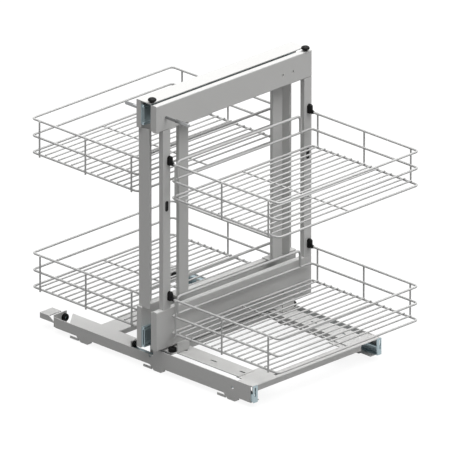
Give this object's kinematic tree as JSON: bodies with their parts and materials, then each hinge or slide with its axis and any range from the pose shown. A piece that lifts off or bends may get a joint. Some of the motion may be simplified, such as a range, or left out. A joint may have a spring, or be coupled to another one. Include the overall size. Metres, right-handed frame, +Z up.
{
  "type": "blind corner pull-out organizer",
  "caption": "Blind corner cabinet pull-out: a floor base with a sideways sliding carriage, a pull-out front frame on telescopic slides, and wire baskets hung front and rear.",
  "frame": {"origin": "on the cabinet's floor, below the middle of the carriage and front frame, at the centre of the bounding box's bottom", "axes": "+X along the cabinet's width towards the door side, which is the way that the carriage slides; -Y towards the user, the way that the front frame pulls out; +Z up"},
  "size_m": [0.725, 0.4708, 0.6345],
  "materials": {
    "white_steel": "satin powder coat",
    "white_wire": "satin powder coat",
    "zinc_steel": "zinc plated",
    "black_rubber": "matte",
    "black_plastic": "matte",
    "runner_plastic": "plain"
  },
  "bodies": {
    "base": {"near_rail": "white_steel", "far_rail": "white_steel", "near_guide_rail": "zinc_steel", "far_guide_rail": "zinc_steel", "guide_rivets": "zinc_steel", "near_top_plate": "white_steel", "far_top_plate": "white_steel", "left_cross_member": "white_steel", "middle_cross_member": "white_steel", "right_cross_member": "white_steel", "end_bumpers": "black_rubber", "rest_buffers": "black_rubber"},
    "carriage": {"near_runner": "runner_plastic", "far_runner": "runner_plastic", "near_foot": "white_steel", "far_foot": "white_steel", "foot_buffers": "black_rubber", "foot_screws": "zinc_steel", "carriage_bottom_beam": "white_steel", "carriage_top_beam": "white_steel", "near_outer_post": "white_steel", "far_outer_post": "white_steel", "near_inner_post": "white_steel", "far_inner_post": "white_steel", "top_slide_outer": "zinc_steel", "bottom_slide_outer": "zinc_steel", "slide_rivets": "zinc_steel", "near_knob": "black_plastic", "rear_peg": "zinc_steel", "rear_basket_caps": "black_plastic", "rear_upper_basket": "white_wire", "rear_lower_basket": "white_wire"},
    "slide_middles": {"top_slide_middle": "zinc_steel", "bottom_slide_middle": "zinc_steel"},
    "front_frame": {"front_top_bar": "white_steel", "front_bottom_bar": "white_steel", "near_front_post": "white_steel", "far_front_post": "white_steel", "front_post_plugs": "black_plastic", "top_slide_inner": "zinc_steel", "bottom_slide_inner": "zinc_steel", "top_slide_carrier": "white_steel", "bottom_slide_carrier": "white_steel", "front_peg": "zinc_steel", "far_knob": "black_plastic", "front_basket_clips": "black_plastic", "front_upper_basket": "white_wire", "front_lower_basket": "white_wire"}
  },
  "joints": [
    {"name": "carriage_slide", "type": "slide", "parent": "base", "child": "carriage", "axis": [1, 0, 0], "range_m": [0, 0.22]},
    {"name": "front_frame_slide", "type": "slide", "parent": "carriage", "child": "front_frame", "axis": [0, -1, 0], "range_m": [0, 0.42]},
    {"name": "slide_middles_slide", "type": "slide", "parent": "carriage", "child": "slide_middles", "axis": [0, -1, 0], "range_m": [0, 0.21]}
  ],
  "couplings": [
    {"joint": "slide_middles_slide", "follows": "front_frame_slide", "ratio": 0.5}
  ]
}
